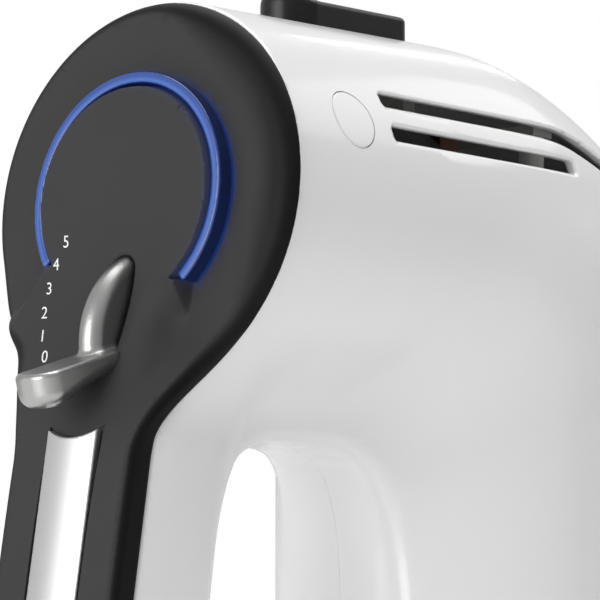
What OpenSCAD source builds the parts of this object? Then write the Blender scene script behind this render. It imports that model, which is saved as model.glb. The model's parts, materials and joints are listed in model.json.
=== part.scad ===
// Hand mixer with an upright grip: a horizontal motor in a round head drives two long
// hollow spindles through a worm and two worm gears. +Z is up, +Y points to the nose,
// and the origin is the middle of the foot under the grip. All sizes are in millimetres.

/* [Head] */
// Radius of the dark disc at the back of the head
disc_r = 37; // [36:0.5:38]
// Height of the disc centre and of the motor axis
head_z = 156; // [154:1:158]
// Radius of the white head behind the disc
head_r = 36; // [35.6:0.1:36.2]
// Length of the rounded nose in front of the straight head
nose_len = 68; // [60:1:74]

/* [Case] */
// Wall thickness of the white case
wall = 2.4; // [2:0.2:2.6]
// Half width of the column under the head
column_hw = 34.5; // [34:0.1:34.8]
// Lean of the grip from upright, in degrees
grip_lean = 9.6; // [9:0.2:10]
// Width of the grip
grip_w = 30; // [29:0.5:31]
// Depth of the grip from its dark face to the finger side
grip_d = 30; // [29:0.5:31]

/* [Speed lever] */
// Width of the lever
lever_w = 10; // [9:0.5:10]
// Radius of the lever's fin about its pivot
fin_r = 17.5; // [16:0.5:17.5]

/* [Beaters] */
// Largest radius of a beater's wires
beater_r = 22; // [20:0.5:23]
// Height of a beater's wire cage
cage_h = 80; // [70:1:85]

/* [Hidden] */
$fn = 64;

// grip face and disc rim planes, as y at a height z
grip_face_z100 = -10.7;
grip_slope = tan(grip_lean);
disc_rim_y = 10.2;
disc_tilt = 4.4;
disc_slope = tan(disc_tilt);
plateau_r = 21.3;
plateau_rise = 7;
cover_t = 2.6;
strip_hw = grip_w / 2;
neck_fillet = 30;

// finger gap between grip and column, seen from the side
gap_y = 39;
gap_z = 66;
gap_hy = 26;
gap_hz = 45.5;
gap_power = 2.8;

// column under the head
column_y = 101;
column_hy = 37;
straight_end = 107;

// motor layout along Y
shaft_r = 2.5;
shaft_tip_r = 2.0;
rotor_r = 13;
air_gap = 0.5;
stator_r = 24.3;
core_y0 = 57;
core_y1 = 79;
brush_y = 46.5;
fan_r = 18.5;

// worm drive
gear_y = 112;
gear_m = 1;
gear_teeth = 27;
worm_starts = 2;
gear_pitch_r = gear_m * gear_teeth / 2;
gear_x = 17.5;
worm_pitch_r = gear_x - gear_pitch_r;
axial_pitch = PI * gear_m;
gear_h = 8;
gear_twist = gear_m * worm_starts / 2 / worm_pitch_r / gear_pitch_r * 180 / PI;
spindle_r = 5;
socket_r = 3.25;
run_gap = 0.05;
socket_len = 48;

// speed lever pivot
pivot_y = 13;
pivot_z = 129.2;
lever_rest = -16.5;

// eject button on top of the head
button_y0 = 44;
button_y1 = 91;
button_hw = 8.5;
button_top = 199.5;

// side slots and cap
slot_angles = [21.8, 35.2];
slot_ends = [[45, 106], [43.5, 118]];
slot_h = 2.9;
cap_y = 30.2;
cap_angle = 22.8;
cap_r = 5.7;
screw_spots = [[cap_y, 170], [148, 150], [88, 16], [-4, 22]];

function smooth(a, b, t) = let (u = max(0, min(1, (t - a) / (b - a)))) u * u * (3 - 2 * u);
function mix(a, b, t) = a * (1 - t) + b * t;
function grip_y(z) = grip_face_z100 + grip_slope * (z - 100);
function rim_y(z) = disc_rim_y + disc_slope * (z - head_z);
function face_y(z) = mix(grip_y(z), rim_y(z) - plateau_rise, smooth(112, 145, z));
function back_y(z) = mix(grip_y(z) + 5.8, rim_y(z) + 3.3, smooth(106, 136, z));
function super(hx, hy, n, steps) = [for (i = [0:steps - 1]) let (a = 360 * i / steps)
    [hx * sign(cos(a)) * pow(abs(cos(a)), 2 / n), hy * sign(sin(a)) * pow(abs(sin(a)), 2 / n)]];
function arc(cx, cy, r, a0, a1, n) = [for (i = [0:n]) let (a = a0 + (a1 - a0) * i / n)
    [cx + r * cos(a), cy + r * sin(a)]];

// a prism along X of an outline given as [y, z]
module along_x(x0, x1) {
    translate([x0, 0, 0]) rotate([90, 0, 90]) linear_extrude(x1 - x0) children();
}
// a prism along Y of an outline given as [x, z]
module along_y(y0, y1) {
    translate([0, y1, 0]) rotate([90, 0, 0]) linear_extrude(y1 - y0) children();
}
module rod_x(x0, x1, r) {
    translate([x0, 0, 0]) rotate([0, 90, 0]) cylinder(r = r, h = x1 - x0);
}
module rod_y(y0, y1, r, z = head_z, x = 0) {
    translate([x, y0, z]) rotate([-90, 0, 0]) cylinder(r = r, h = y1 - y0);
}
module tube_y(y0, y1, r, bore, z = head_z) {
    difference() {
        rod_y(y0, y1, r, z);
        rod_y(y0 - 1, y1 + 1, bore, z);
    }
}
module mirrored() {
    children();
    mirror([1, 0, 0]) children();
}
// frame of the tilted disc: local -Y is out of the face
module disc_frame() {
    translate([0, disc_rim_y, head_z]) rotate([-disc_tilt, 0, 0]) children();
}
module on_head(angle, y) {
    translate([0, y, head_z]) rotate([0, -angle, 0]) children();
}

// ---------- outline of the dark cover, as [x, z] ----------
neck_x = strip_hw + neck_fillet;
neck_dz = sqrt(pow(disc_r - 1.2 + neck_fillet, 2) - neck_x * neck_x);
neck_turn = atan2(neck_dz, neck_x);
module neck_outline(inset) {
    f = neck_fillet + inset;
    z0 = head_z - neck_dz;
    side = arc(neck_x, z0, f, 180, 180 - neck_turn, 10);
    polygon(concat(side, [[0, head_z - 8]], [for (i = [10:-1:0]) [-side[i][0], side[i][1]]],
        [[-strip_hw + inset, z0 - 1], [strip_hw - inset, z0 - 1]]));
}
module cover_outline(inset, r) {
    translate([0, head_z]) circle(r = r, $fn = 96);
    neck_outline(inset);
    translate([-strip_hw + inset, 3 + inset]) square([2 * (strip_hw - inset), 108 - inset]);
}

// ---------- white case ----------
module case_body(t) {
    back = t > 0 ? 3 : 10.5;
    // straight head and rounded nose
    translate([0, straight_end, head_z]) rotate([-90, 0, 0]) rotate_extrude()
        polygon(concat([[0, back - straight_end], [head_r - t, back - straight_end]],
            [for (i = [0:14]) let (a = 90 * i / 14)
                [max(1.5, (head_r - t) * pow(cos(a), 0.85)), (nose_len - t) * pow(sin(a), 0.85)]],
            [[0, nose_len - t]]));
    // column
    translate([0, column_y, 1.6 + t]) linear_extrude(head_z - 9 - 1.6 - t)
        polygon(super(column_hw - t, column_hy - t, 2.6, 48));
    // web that joins grip, head and column
    intersection() {
        along_y(-20, column_y) cover_outline(t, head_r - t);
        along_x(-30, 30) polygon([[4 + t, 100 + t], [column_y, 100 + t], [column_y, head_z], [4 + t, head_z]]);
    }
    // grip
    intersection() {
        translate([0, grip_y(0), 0]) rotate([-grip_lean, 0, 0]) translate([0, grip_d / 2, -10])
            linear_extrude(150) polygon(super(strip_hw - t, grip_d / 2 - t, 3, 40));
        translate([-30, -60, 1.6 + t]) cube([60, 120, 140]);
    }
    // heel between grip and column
    translate([0, 0, 1.6 + t]) linear_extrude(30 - 2 * t) polygon([[-strip_hw + t, -22 + t],
        [strip_hw - t, -22 + t], [strip_hw - t, 30], [26 - t, 80], [26 - t, column_y],
        [-26 + t, column_y], [-26 + t, 80], [-strip_hw + t, 30]]);
}
module finger_gap(grow) {
    along_x(-60, 60) translate([gap_y, gap_z])
        polygon(super(gap_hy + grow, gap_hz + grow, gap_power, 56));
}
// everything in front of the cover's back surface
module cover_zone() {
    zs = [for (i = [0:10]) 100 + 4.2 * i];
    along_x(-60, 60) polygon(concat([[-90, -20], [back_y(-20), -20]], [for (z = zs) [back_y(z), z]],
        [[back_y(240), 240], [-90, 240]]));
}
module head_slots() {
    mirrored() for (i = [0:1]) on_head(slot_angles[i], 0)
        translate([26, slot_ends[i][0], -slot_h / 2])
            cube([14, slot_ends[i][1] - slot_ends[i][0], slot_h]);
    // air intake in the bottom of the column
    for (i = [-2:2]) translate([i * 7 - 1.5, 76, -1]) cube([3, 18, 6]);
}
module case_shell() {
    difference() {
        case_body(0);
        difference() {
            case_body(wall);
            finger_gap(wall);
        }
        finger_gap(0);
        cover_zone();
        head_slots();
        // button well, socket plate, foot recess, cord gland
        translate([-button_hw - 0.4, button_y0 - 0.4, head_z + 20])
            cube([2 * button_hw + 0.8, button_y1 - button_y0 + 0.8, 40]);
        translate([0, gear_y, -1]) linear_extrude(8) plate_outline(0);
        foot_block(0);
        translate([0, -40, gland_z]) rotate([-90, 0, 0]) cylinder(r = gland_r, h = 60);
    }
}
module screw_boss(spot, x0, x1, bore) {
    translate([0, spot[0], spot[1]]) difference() {
        rod_x(x0, x1, 3.6);
        rod_x(x0 - 1, x1 + 1, bore);
    }
}
boss_reach = [30.5, 27.3, 32.8, 13.4];
module case_half(side) {
    color("whitesmoke") {
        difference() {
            intersection() {
                case_shell();
                translate([side > 0 ? 0 : -80, -80, -20]) cube([80, 300, 260]);
            }
            if (side > 0) on_head(cap_angle, cap_y) rod_x(34.7, 44, cap_r + 0.1);
            if (side > 0) for (s = screw_spots) translate([0, s[0], s[1]]) rod_x(8, 60, 3.1);
        }
        for (i = [0:3]) if (side > 0) {
            screw_boss(screw_spots[i], 0, 8, 1.6);
            screw_boss(screw_spots[i], 8, boss_reach[i], 2.95);
        } else screw_boss(screw_spots[i], -boss_reach[i], 0, 1.5);
    }
}

// ---------- dark cover ----------
module cover_slab(front, depth, hw) {
    zs = [for (i = [0:16]) 108 + 2.4 * i];
    along_x(-hw, hw) polygon(concat([[face_y(-2) + front, -2]], [for (z = zs) [face_y(z) + front, z]],
        [[face_y(190) + front, 190], [face_y(190) + depth, 190]],
        [for (i = [16:-1:0]) [face_y(zs[i]) + depth, zs[i]]], [[face_y(-2) + depth, -2]]));
}
module inner_outline(inset) {
    translate([0, head_z]) circle(r = plateau_r + 1 - inset, $fn = 96);
    intersection() {
        neck_outline(inset + 0.8);
        translate([-50, 60]) square([100, 86]);
    }
    translate([-strip_hw + inset + 0.8, 3 + inset]) square([2 * (strip_hw - inset - 0.8), 108 - inset]);
}
module rear_cover() {
    color("dimgray") difference() {
        intersection() {
          cover_zone();
          union() {
            // annulus with a rounded rim
            disc_frame() rotate([90, 0, 0]) rotate_extrude($fn = 96)
                polygon(concat([[0, -4], [disc_r - 0.2, -4]],
                    arc(disc_r - 4.5, -2.5, 4.5, 0, 90, 6), [[0, 2]]));
            intersection() {
                cover_slab(0, 24, 40);
                along_y(-60, 60) inner_outline(0);
            }
            // skirt of the neck, level with the rim
            intersection() {
                along_y(-60, 60) neck_outline(0);
                cover_slab(3.2, 24, 40);
                translate([-50, -60, 100]) cube([100, 120, 36]);
            }
          }
        }
        // hollow behind the plateau and the grip face
        difference() {
            intersection() {
                cover_slab(cover_t, 40, 40);
                along_y(-60, 60) inner_outline(3.2);
            }
            along_x(-40, 40) translate([-90, -20]) square([60, 25]);
        }
        // scoop and slot of the lever
        intersection() {
            along_y(-60, 40) intersection() {
                translate([-12.1, 134]) circle(r = 22.4);
                translate([12.1, 134]) circle(r = 22.4);
            }
            translate([0, -24, 134]) rod_x(-20, 20, 26);
        }
        translate([-lever_w / 2 - 1, -40, pivot_z - 9.4]) cube([lever_w + 2, 80, 9.4 + fin_r + 0.8]);
        ring_groove();
        inlay_block(0.15);
        translate([0, -60, gland_z]) rotate([-90, 0, 0]) cylinder(r = gland_r, h = 80);
        translate([0, -60, gland_z]) rotate([-90, 0, 0]) cylinder(r = 7.1, h = 34.6);
    }
}
ring_a0 = -48;
ring_a1 = 212;
module ring_sector(r) {
    polygon(concat([[0, 0]], arc(0, 0, r, ring_a0, ring_a1, 24)));
}
module ring_groove() {
    disc_frame() rotate([90, 0, 0]) translate([0, 0, -8]) linear_extrude(20) intersection() {
        difference() {
            circle(r = plateau_r + 2.1, $fn = 96);
            circle(r = plateau_r - 0.05, $fn = 96);
        }
        ring_sector(60);
    }
}
module light_ring() {
    color("royalblue") disc_frame() rotate([90, 0, 0]) translate([0, 0, -3.2]) linear_extrude(9.5)
        intersection() {
            difference() {
                circle(r = plateau_r + 2, $fn = 96);
                circle(r = plateau_r + 0.05, $fn = 96);
            }
            ring_sector(60);
        }
}
// brushed strip let into the grip's face
inlay_hw = 6.3;
inlay_z0 = 34;
inlay_z1 = 113.5;
module inlay_block(grow) {
    difference() {
        intersection() {
            cover_slab(-0.5 + (grow > 0 ? -4 : 0), 1.2 + grow, inlay_hw + grow);
            translate([-20, -60, inlay_z0 - grow]) cube([40, 80, inlay_z1 - inlay_z0 + 2 * grow]);
        }
        translate([0, -60, inlay_z1 + 10.6 + grow]) rotate([-90, 0, 0]) cylinder(r = 13, h = 80);
    }
}
module grip_inlay() {
    color("silver") inlay_block(0);
}

// ---------- eject button, fork and spring ----------
module eject_button() {
    color("black") {
        translate([-button_hw, button_y0, head_z + 32.2])
            cube([2 * button_hw, button_y1 - button_y0, button_top - head_z - 32.2]);
        intersection() {
            translate([-button_hw, button_y0, button_top - 1]) cube([2 * button_hw, 16, 6]);
            translate([0, button_y0 + 8, button_top - 6.5]) rod_x(-20, 20, 11);
        }
    }
}
fork_z = 178.8;
fork_t = 2.2;
module eject_fork() {
    color("lightgray") {
        translate([-4, 86, fork_z]) cube([8, gear_y - 86 + 3, fork_t]);
        translate([-gear_x - 3, gear_y - 3.5, fork_z]) cube([2 * gear_x + 6, 7, fork_t]);
        translate([-3, 86, fork_z]) cube([6, 4, head_z + 32.2 - fork_z]);
        for (x = [-gear_x, gear_x]) translate([x, gear_y, socket_len + 5])
            cylinder(r = socket_r - 0.5, h = fork_z - socket_len - 4);
    }
}
// one helical spring along Z, as one swept tube
function helix_ring(r, wire, turns, h, i, n, sides) = let (t = i / n, a = 360 * turns * t)
    [for (k = [0:sides - 1]) let (b = 360 * k / sides)
        [(r + wire * cos(b)) * cos(a), (r + wire * cos(b)) * sin(a), h * t + wire * sin(b)]];
module swept(rings) {
    n = len(rings) - 1;
    s = len(rings[0]);
    polyhedron(points = [for (r = rings) each r], faces = concat(
        [[for (k = [s - 1:-1:0]) k]],
        [for (i = [0:n - 1]) for (k = [0:s - 1]) let (j = (k + 1) % s)
            [i * s + k, i * s + j, (i + 1) * s + j, (i + 1) * s + k]],
        [[for (k = [0:s - 1]) n * s + k]]), convexity = 8);
}
module coil(r, wire, turns, h, per_turn = 14, sides = 6) {
    n = turns * per_turn;
    translate([0, 0, wire]) swept([for (i = [0:n]) helix_ring(r, wire, turns, h - 2 * wire, i, n, sides)]);
}
spring_z = head_z + 24.6;
module eject_spring() {
    color("silver") translate([0, 68, spring_z]) coil(4.2, 0.4, 4, head_z + 32.1 - spring_z);
}

// ---------- fasteners and cap ----------
module screw_x(y, z, x0, len, r, head_r, head_h) {
    translate([0, y, z]) difference() {
        union() {
            rod_x(x0 - len, x0, r);
            rod_x(x0, x0 + head_h, head_r);
        }
        translate([x0 + head_h - 1, -0.5, -2]) cube([2, 1, 4]);
        translate([x0 + head_h - 1, -2, -0.5]) cube([2, 4, 1]);
    }
}
module case_screws() {
    color("silver") for (s = screw_spots) screw_x(s[0], s[1], 8.05, 16, 1.45, 2.9, 2);
}
module screw_cap() {
    color("white") on_head(cap_angle, cap_y) intersection() {
        rod_x(34.8, 38, cap_r);
        translate([0, 40, 0]) rotate([90, 0, 0]) cylinder(r = head_r + 0.15, h = 80, $fn = 120);
    }
}

// ---------- speed lever ----------
module lever_frame() {
    translate([0, pivot_y, pivot_z]) rotate([-lever_rest, 0, 0]) children();
}
module lever_shape() {
    difference() {
        union() {
            // fin: a fan about the pivot, from below the tab to far above it
            along_x(-lever_w / 2, lever_w / 2) polygon(concat([[2.5, -2]],
                [for (i = [0:14]) let (a = -14 + 106 * i / 14) [-fin_r * cos(a), fin_r * sin(a)]],
                [[3, 3]]));
            rod_x(-lever_w / 2, lever_w / 2, 5.2);
            // thumb tab
            translate([-5.5, -35.2, -2.9]) cube([11, 19, 5.8]);
            translate([0, -35.2, 0]) rod_x(-5.5, 5.5, 2.9);
        }
        rod_x(-20, 20, 2.05);
    }
}
module speed_lever() {
    color("silver") lever_frame() lever_shape();
}
module lever_pin() {
    color("silver") translate([0, pivot_y, pivot_z]) rod_x(-8.2, 8.2, 2);
}
module lever_bracket() {
    color("gray") difference() {
        union() {
            mirrored() translate([5.7, pivot_y - 5.5, pivot_z - 5.5]) cube([2.2, 24.5, 11]);
            translate([-7.9, pivot_y + 18.8, 122]) cube([15.8, 2.2, 22]);
        }
        translate([0, pivot_y, pivot_z]) rod_x(-20, 20, 2);
    }
}
module speed_switch() {
    color("darkslategray") difference() {
        union() {
            translate([-11, 34.2, 124]) cube([22, 7.6, 13]);
            translate([-9, 34.2, 120]) cube([3, 6, 4]);
            translate([6, 34.2, 120]) cube([3, 6, 4]);
        }
        translate([-3, 33, 128]) cube([6, 4, 6]);
    }
}

// ---------- lamp and control boards ----------
module led_board() {
    color("darkgreen") disc_frame() rotate([90, 0, 0]) {
        translate([0, 0, -8.6]) linear_extrude(1.6) intersection() {
            difference() {
                circle(r = 27);
                circle(r = 18.5);
            }
            ring_sector(60);
        }
        for (i = [0:6]) rotate([0, 0, ring_a0 + 12 + 42 * i])
            translate([plateau_r - 1, -1.6, -7]) cube([3.2, 3.2, 3]);
    }
}
module control_board() {
    color("darkgreen") translate([-17, 73, 44]) cube([34, 1.6, 66]);
    color("steelblue") translate([-10, 74.6, 92]) rotate([-90, 0, 0]) cylinder(r = 6.5, h = 14);
    color("orange") translate([1.5, 74.6, 84]) cube([15, 9, 18]);
    color("silver") translate([-16, 74.6, 52]) cube([14, 3, 24]);
    color("goldenrod") translate([8.5, 74.6, 62]) rotate([-90, 0, 0]) difference() {
        cylinder(r = 8, h = 7);
        translate([0, 0, -1]) cylinder(r = 3, h = 10);
    }
}

// ---------- motor ----------
module coil_window(y0, y1, grow) {
    for (x = [-1, 1]) for (z = [-1, 1])
        translate([x > 0 ? 10.5 - grow : -17.5 - grow, y0, head_z + (z > 0 ? 9.8 - grow : -16.2 - grow)])
            cube([7 + 2 * grow, y1 - y0, 6.4 + 2 * grow]);
}
module stator_core() {
    color("lightslategray") difference() {
        intersection() {
            rod_y(core_y0, core_y1, stator_r);
            translate([-22, core_y0 - 1, head_z - 24.4]) cube([44, 60, 48.8]);
        }
        rod_y(core_y0 - 1, core_y1 + 1, rotor_r + air_gap);
        coil_window(core_y0 - 1, core_y1 + 1, 0.2);
        // side windows between the poles
        mirrored() translate([12, core_y0 - 1, head_z - 9]) cube([6.5, 40, 18]);
    }
}
module field_coils() {
    color("peru") for (up = [-1, 1]) {
        coil_window_one(up);
        for (y = [core_y0 - 6, core_y1]) translate([-17.5, y, head_z + (up > 0 ? 13.6 : -19.4)])
            cube([35, 6, 5.8]);
    }
}
module coil_window_one(up) {
    for (x = [-17.5, 10.5]) translate([x, core_y0 - 6, head_z + (up > 0 ? 9.8 : -16.2)])
        cube([7, core_y1 - core_y0 + 12, 6.4]);
}
module rotor_core() {
    color("gray") difference() {
        rod_y(core_y0, core_y1, rotor_r);
        rod_y(core_y0 - 1, core_y1 + 1, shaft_r);
        for (i = [0:11]) rotate_about_motor(30 * i) rod_y(core_y0 - 1, core_y1 + 1, 1.7, head_z + 9.6);
        for (i = [0:11]) rotate_about_motor(30 * i)
            translate([-0.6, core_y0 - 1, head_z + 10]) cube([1.2, 40, 5]);
    }
}
module rotate_about_motor(a) {
    translate([0, 0, head_z]) rotate([0, a, 0]) translate([0, 0, -head_z]) children();
}
module rotor_windings() {
    color("chocolate") {
        for (y = [core_y0 - 5, core_y1]) difference() {
            rod_y(y, y + 5, 11.2);
            rod_y(y - 1, y + 6, 3.2);
        }
        for (i = [0:11]) rotate_about_motor(30 * i) rod_y(core_y0, core_y1, 1.5, head_z + 9.6);
    }
}
module commutator() {
    color("darkgoldenrod") difference() {
        union() {
            tube_y(42.5, 50.5, 7, shaft_r);
            tube_y(50.5, 51.5, 8, shaft_r);
        }
        for (i = [0:23]) rotate_about_motor(15 * i)
            translate([-0.2, 42, head_z + 6.3]) cube([0.4, 8.2, 2]);
    }
}
module motor_shaft() {
    color("silver") {
        rod_y(34, 98.5, shaft_r);
        rod_y(98.5, 132, shaft_tip_r);
    }
}
// worm: root sleeve with helical threads along Y
thread_root = 2.8;
thread_tip = gear_x - (gear_pitch_r - 1.3) - 0.35;
worm_len = 22;
module worm() {
    n = 60;
    turns = worm_len / (axial_pitch * worm_starts);
    color("silver") translate([0, gear_y, head_z]) rotate([-90, 0, 0]) difference() {
        union() {
            translate([0, 0, -worm_len / 2 - 2]) cylinder(r = thread_root, h = worm_len + 4);
            for (s = [0:worm_starts - 1]) swept([for (i = [0:n])
                let (t = i / n - 0.5, a = 360 * turns * t + 360 * s / worm_starts,
                    z = worm_len * t, fade = min(1, 8 * (0.5 - abs(t))), tip = mix(2.5, thread_tip, fade))
                [for (q = [[2.4, 0.95], [tip, 0.42], [tip, -0.42], [2.4, -0.95]])
                    [-q[0] * sin(a), -q[0] * cos(a), z + q[1]]]]);
        }
        translate([0, 0, -40]) cylinder(r = shaft_tip_r, h = 80);
    }
}
module cooling_fan() {
    color("white") {
        tube_y(86.2, 93, 5, shaft_r);
        tube_y(86.2, 87.4, fan_r, shaft_r);
        for (i = [0:10]) rotate_about_motor(360 / 11 * i)
            translate([-0.6, 87.4, head_z + 8]) cube([1.2, 4.6, fan_r - 8.2]);
    }
}
module shaft_bushes() {
    color("goldenrod") {
        tube_y(36.2, 41, 5.5, shaft_r + run_gap);
        tube_y(93.5, 97.8, 5.5, shaft_r + run_gap);
        tube_y(126.5, 131.5, 4.5, shaft_tip_r + run_gap);
    }
}
module brush_bridge() {
    color("dimgray") difference() {
        union() {
            translate([-23, 37, head_z - 6]) cube([46, 3, 12]);
            rod_y(37, 40, 11);
            mirrored() translate([19.5, 37, head_z - 5]) cube([3.5, 20, 2]);
            mirrored() translate([19.5, 37, head_z + 3]) cube([3.5, 20, 2]);
        }
        rod_y(30, 60, 5.5);
    }
}
module brush_holders() {
    color("gold") mirrored() difference() {
        translate([9, brush_y - 3.4, head_z - 2.9]) cube([13.5, 6.8, 5.8]);
        translate([8, brush_y - 2.6, head_z - 2.1]) cube([13.9, 5.2, 4.2]);
    }
}
module carbon_brushes() {
    color("black") mirrored() difference() {
        translate([6, brush_y - 2.5, head_z - 2]) cube([10, 5, 4]);
        rod_y(30, 60, 7.1);
    }
}
module brush_springs() {
    color("silver") mirrored() translate([16, brush_y, head_z]) rotate([0, 90, 0])
        coil(1.4, 0.25, 6, 5.85, 10, 5);
}

// ---------- gear case and gears ----------
module gear_case() {
    color("gray") difference() {
        union() {
            translate([-26.5, 94, head_z - 16.5]) cube([53, 37, 2.5]);
            translate([-22, 94, head_z - 16.5]) cube([44, 3, 29]);
            translate([-12, 127.5, head_z - 16.5]) cube([24, 3, 28]);
            for (x = [-gear_x, gear_x]) translate([x, gear_y, head_z - 22]) cylinder(r = 9, h = 7);
        }
        rod_y(90, 99, 5.5);
        rod_y(120, 140, 4.5);
        for (x = [-gear_x, gear_x]) translate([x, gear_y, 100]) cylinder(r = 7, h = 60);
    }
}
module gear_cover() {
    color("gray") difference() {
        translate([-24, 94, head_z + 12.5]) cube([48, 36.5, 2]);
        for (x = [-gear_x, gear_x]) translate([x, gear_y, 100]) cylinder(r = 5.4, h = 90);
        for (x = [-8, 8]) translate([x, 95.5, 100]) cylinder(r = 1.1, h = 90);
        translate([0, 129, 100]) cylinder(r = 1.1, h = 90);
    }
}
module gear_case_screws() {
    color("silver") for (s = [[-8, 95.5], [8, 95.5], [0, 129]]) translate([s[0], s[1], head_z + 14.5]) {
        cylinder(r = 2.2, h = 1.6);
        translate([0, 0, -2]) cylinder(r = 1, h = 2);
    }
}
// teeth of a worm gear, one tooth at angle 0
module gear_outline() {
    root = gear_pitch_r - 1.3;
    tip = gear_pitch_r + 0.85;
    polygon([for (i = [0:gear_teeth - 1]) let (a = 360 * i / gear_teeth)
        for (q = [[root, -1.0], [tip, -0.4], [tip, 0.4], [root, 1.0]])
            let (b = a + q[1] / q[0] * 180 / PI) [q[0] * cos(b), q[0] * sin(b)]]);
}
module worm_gear(x, turn) {
    color("white") translate([x, gear_y, head_z]) difference() {
        union() {
            rotate([0, 0, turn + gear_twist * gear_h / 2]) linear_extrude(gear_h, center = true, twist = gear_twist * gear_h, slices = 4)
                gear_outline();
            translate([0, 0, -11]) cylinder(r = 7.5, h = 15);
        }
        translate([0, 0, -20]) cylinder(r = spindle_r, h = 40);
    }
}
module spindle(x) {
    color("silver") translate([x, gear_y, 2.2]) difference() {
        union() {
            cylinder(r = spindle_r, h = head_z + 6);
            translate([0, 0, head_z - 2.2 + 4]) cylinder(r = 6.5, h = 2);
        }
        translate([0, 0, -1]) cylinder(r = socket_r, h = head_z + 20);
    }
}
module spindle_bushes() {
    color("goldenrod") for (x = [-gear_x, gear_x]) for (z = [[4.4, 8], [head_z - 22, 7]])
        translate([x, gear_y, z[0]]) difference() {
            cylinder(r = 7, h = z[1]);
            translate([0, 0, -1]) cylinder(r = spindle_r + run_gap, h = 20);
        }
}
module plate_outline(inset) {
    for (x = [-gear_x, gear_x]) translate([x, 0]) circle(r = 11 - inset);
    translate([-gear_x, -11 + inset]) square([2 * gear_x, 22 - 2 * inset]);
}
module socket_plate() {
    color("dimgray") translate([0, gear_y, 0]) difference() {
        union() {
            translate([0, 0, 1]) linear_extrude(2.9) plate_outline(0.1);
            for (x = [-gear_x, gear_x]) translate([x, 0, 3.9]) cylinder(r = 9, h = 8.5);
        }
        for (x = [-gear_x, gear_x]) translate([x, 0, 0]) {
            translate([0, 0, -1]) cylinder(r = 5.8, h = 9);
            translate([0, 0, 4.4]) cylinder(r = 7, h = 10);
        }
    }
}

// ---------- beaters ----------
// one bow of a beater: out from the ferrule, down and under the axis, [x, z] at t from -1 to 1
function bow(t, top, bottom) = let (u = abs(t), s = u < 0.55 ? sin(90 * u / 0.55) : 1 - 0.88 * smooth(0.5, 1.02, u),
    drop = u < 0.55 ? (1 - cos(90 * u / 0.55)) * 26 : 26 + (top - bottom - 26) * (u - 0.55) / 0.45)
    [sign(t) * beater_r * s, bottom + drop];
wire_r = 1.2;
module bow_wire(top, bottom) {
    n = 44;
    pts = [for (i = [0:n]) bow(2 * i / n - 1, top, bottom)];
    swept([for (i = [0:n]) let (d = pts[min(n, i + 1)] - pts[max(0, i - 1)], l = norm(d), t = d / l)
        [for (k = [0:7]) let (b = 45 * k)
            [pts[i][0] - t[1] * wire_r * cos(b), wire_r * sin(b), pts[i][1] + t[0] * wire_r * cos(b)]]]);
}
ferrule_z = -34;
module beater(x, turn, collar) {
    color("silver") translate([x, gear_y, 0]) rotate([0, 0, turn]) {
        translate([0, 0, ferrule_z]) cylinder(r = socket_r - run_gap, h = socket_len - ferrule_z);
        translate([0, 0, -4]) cylinder(r = collar, h = 1.6);
        translate([0, 0, ferrule_z - 8]) cylinder(r = 4.4, h = 14);
        bow_wire(ferrule_z - 1, ferrule_z - cage_h);
        rotate([0, 0, 90]) bow_wire(ferrule_z - 1, ferrule_z - cage_h + 2.3);
    }
}

// ---------- foot, gland and leads ----------
gland_z = 12;
gland_r = 5.2;
module cord_gland() {
    color("black") translate([0, 0, gland_z]) difference() {
        union() {
            translate([0, -31.5, 0]) rotate([-90, 0, 0]) cylinder(r = 7, h = 6);
            translate([0, -31.5, 0]) rotate([-90, 0, 0]) cylinder(r = gland_r - 0.05, h = 20);
        }
        translate([0, -40, 0]) rotate([-90, 0, 0]) cylinder(r = 3.6, h = 60);
    }
}
module foot_block(drop) {
    translate([0, 0, -drop]) linear_extrude(3.2) offset_free_rect(11, 19, 5);
}
module offset_free_rect(hx, hy, r) {
    for (x = [-1, 1]) for (y = [-1, 1]) translate([x * (hx - r), y * (hy - r)]) circle(r = r);
    square([2 * hx, 2 * (hy - r)], center = true);
    square([2 * (hx - r), 2 * hy], center = true);
}
module foot_pad() {
    color("black") linear_extrude(3.2) offset_free_rect(11, 19, 5);
}
lead_path = [[-8, 14.5], [-4, 14.5], [1, 16], [4, 24], [3, 34], [3, 50], [4, 65], [5, 85], [9, 100], [18, 112],
    [28, 117], [37, 119.5]];
module lead(x) {
    n = len(lead_path) - 1;
    swept([for (i = [0:n]) let (d = lead_path[min(n, i + 1)] - lead_path[max(0, i - 1)], t = d / norm(d))
        [for (k = [0:7]) let (b = 45 * k)
            [x + cos(b), lead_path[i][0] - t[1] * sin(b), lead_path[i][1] + t[0] * sin(b)]]]);
}
module power_leads() {
    color("saddlebrown") lead(-1.6);
    color("navy") lead(1.6);
}

case_half(1);  // case_right
case_half(-1);  // case_left
rear_cover();
light_ring();
grip_inlay();
eject_button();
eject_fork();
eject_spring();
screw_cap();
case_screws();
speed_lever();
lever_pin();
lever_bracket();
speed_switch();
led_board();
control_board();
stator_core();
field_coils();
rotor_core();
rotor_windings();
commutator();
motor_shaft();
worm();
cooling_fan();
shaft_bushes();
brush_bridge();
brush_holders();
carbon_brushes();
brush_springs();
gear_case();
gear_cover();
gear_case_screws();
worm_gear(-gear_x, 0);  // worm_gear_left
worm_gear(gear_x, 180);  // worm_gear_right
spindle(-gear_x);  // spindle_left
spindle(gear_x);  // spindle_right
spindle_bushes();
socket_plate();
beater(-gear_x, 0, 6);  // beater_left
beater(gear_x, 45, 5.2);  // beater_right
cord_gland();
foot_pad();
power_leads();
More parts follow.
